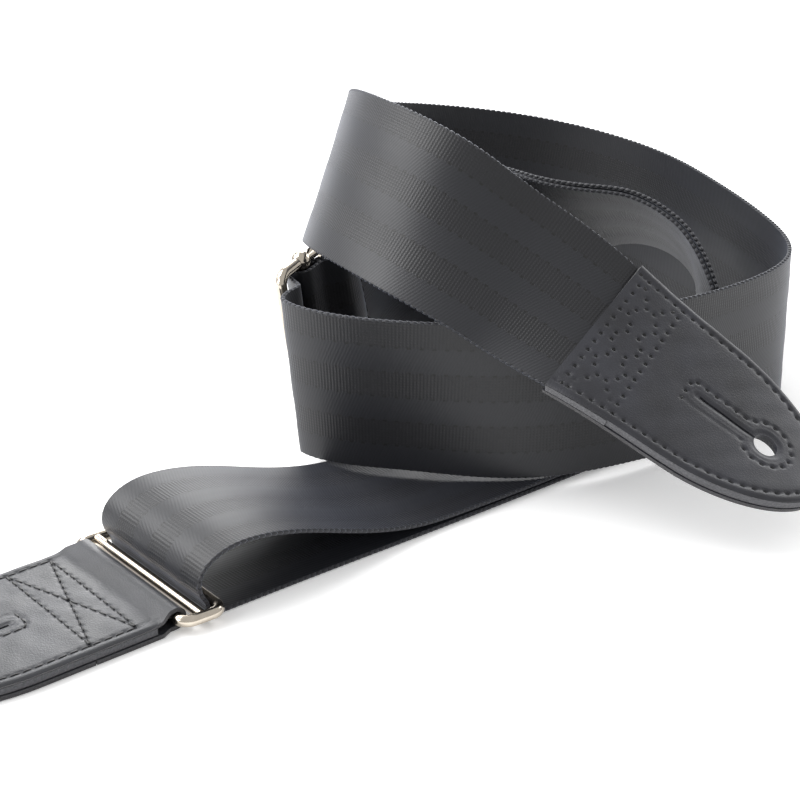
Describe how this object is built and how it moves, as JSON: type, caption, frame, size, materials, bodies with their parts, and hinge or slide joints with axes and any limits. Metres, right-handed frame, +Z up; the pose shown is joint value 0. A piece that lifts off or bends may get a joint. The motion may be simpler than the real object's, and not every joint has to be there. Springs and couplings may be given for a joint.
{
  "type": "guitar strap",
  "caption": "Webbing guitar strap lying loosely coiled, with a padded leather keyhole end, a wire slider, and a ring with a second leather keyhole end.",
  "frame": {"origin": "on the floor, under the middle of the strap's box as it lies", "axes": "+Z up; +X along the flat run, from the rear leather end towards the coil; +Y across it"},
  "size_m": [0.3618, 0.241, 0.1051],
  "materials": {
    "webbing": "woven, low sheen",
    "leather": "soft grain, satin",
    "leather_core": "raw, matt",
    "nickel": "polished, warm nickel",
    "thread": "twisted thread"
  },
  "bodies": {
    "strap": {"webbing_shoulder_run": "webbing", "webbing_main_layer": "webbing", "webbing_return_layer": "webbing", "webbing_end_seam_thread": "thread", "front_tab_face_leather": "leather", "front_tab_core": "leather_core", "front_tab_backing_leather": "leather", "front_tab_edge_thread": "thread", "front_tab_webbing_thread": "thread", "front_tab_keyhole_thread": "thread"},
    "slider": {"slider_frame": "nickel", "slider_centre_bar": "nickel"},
    "ring": {"rear_ring": "nickel"},
    "rear_tab": {"rear_tab_face_leather": "leather", "rear_tab_core": "leather_core", "rear_tab_backing_leather": "leather", "rear_tab_edge_thread": "thread", "rear_tab_box_x_thread": "thread", "rear_tab_keyhole_thread": "thread"}
  },
  "joints": [
    {"name": "slider_tilt", "type": "hinge", "parent": "strap", "child": "slider", "pos_m": [0.0025, 0.0294, 0.0301], "axis": [-0.1082, 0.0722, 0.9915], "range_deg": [0, 3]},
    {"name": "rear_ring_swing", "type": "hinge", "parent": "strap", "child": "ring", "pos_m": [-0.088, -0.0193, 0.00335], "axis": [0.0523, 0.9986, 0], "range_deg": [0, 8]},
    {"name": "rear_tab_swing", "type": "hinge", "parent": "ring", "child": "rear_tab", "pos_m": [-0.1005, -0.0193, 0.00335], "axis": [0.0523, 0.9986, 0], "range_deg": [0, 75]}
  ]
}
